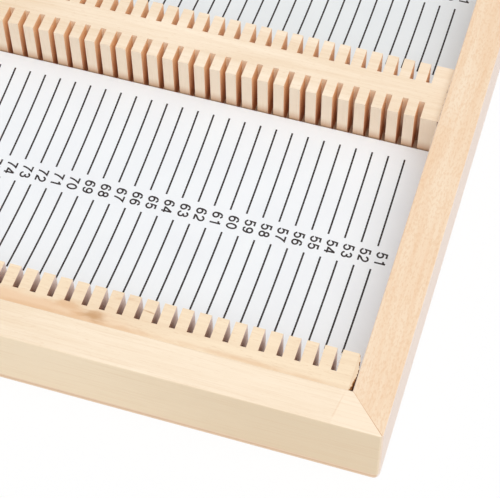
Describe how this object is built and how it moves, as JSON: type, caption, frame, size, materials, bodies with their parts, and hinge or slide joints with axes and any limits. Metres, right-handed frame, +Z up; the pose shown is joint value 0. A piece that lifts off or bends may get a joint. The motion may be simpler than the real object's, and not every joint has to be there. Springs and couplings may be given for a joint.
{
  "type": "microscope slide storage box",
  "caption": "Flat wooden storage box with two slotted slide columns over numbered paper sheets, and a hinged lid with a hook latch laid open.",
  "frame": {"origin": "centre of the base's flat underside", "axes": "+X to the right along the box's long side seen from the latch side, +Y from the latch side to the hinge side, +Z up"},
  "size_m": [0.2214, 0.3778, 0.0199],
  "materials": {
    "wall_wood": "pale close-grained wood, planed, unvarnished",
    "comb_wood": "honey-toned pale wood, sawn slots, unvarnished",
    "divider_wood": "pale wood, sawn slots, unvarnished",
    "panel_ply": "thin plywood, bare edges",
    "index_paper": "matt white paper, printed numbers and lines",
    "hinge_brass": "satin brass plating",
    "screw_brass": "brass, slightly darker than the plates"
  },
  "bodies": {
    "base": {"base_front_wall": "wall_wood", "base_right_wall": "wall_wood", "base_back_wall": "wall_wood", "base_left_wall": "wall_wood", "front_comb": "comb_wood", "back_comb": "comb_wood", "centre_divider": "divider_wood", "base_panel": "panel_ply", "index_sheet_front": "index_paper", "index_sheet_back": "index_paper", "left_hinge_base_leaf": "hinge_brass", "left_hinge_pin": "hinge_brass", "right_hinge_base_leaf": "hinge_brass", "right_hinge_pin": "hinge_brass", "hinge_base_screws": "screw_brass", "catch_stud": "screw_brass"},
    "lid": {"lid_panel": "panel_ply", "lid_front_wall": "wall_wood", "lid_right_wall": "wall_wood", "lid_back_wall": "wall_wood", "lid_left_wall": "wall_wood", "lid_index_sheet": "index_paper", "left_hinge_lid_leaf": "hinge_brass", "right_hinge_lid_leaf": "hinge_brass", "hinge_lid_screws": "screw_brass", "latch_plate": "hinge_brass", "latch_plate_screws": "screw_brass", "latch_rivet": "screw_brass"},
    "latch_hook": {"latch_hook": "hinge_brass"}
  },
  "joints": [
    {"name": "lid_hinge", "type": "hinge", "parent": "base", "child": "lid", "pos_m": [0, 0.09355, 0.01845], "axis": [1, 0, 0], "range_deg": [0, 180]},
    {"name": "latch_swivel", "type": "hinge", "parent": "lid", "child": "latch_hook", "pos_m": [0, 0.281, 0.0138], "axis": [0, 1, 0], "range_deg": [-90, 180]}
  ]
}
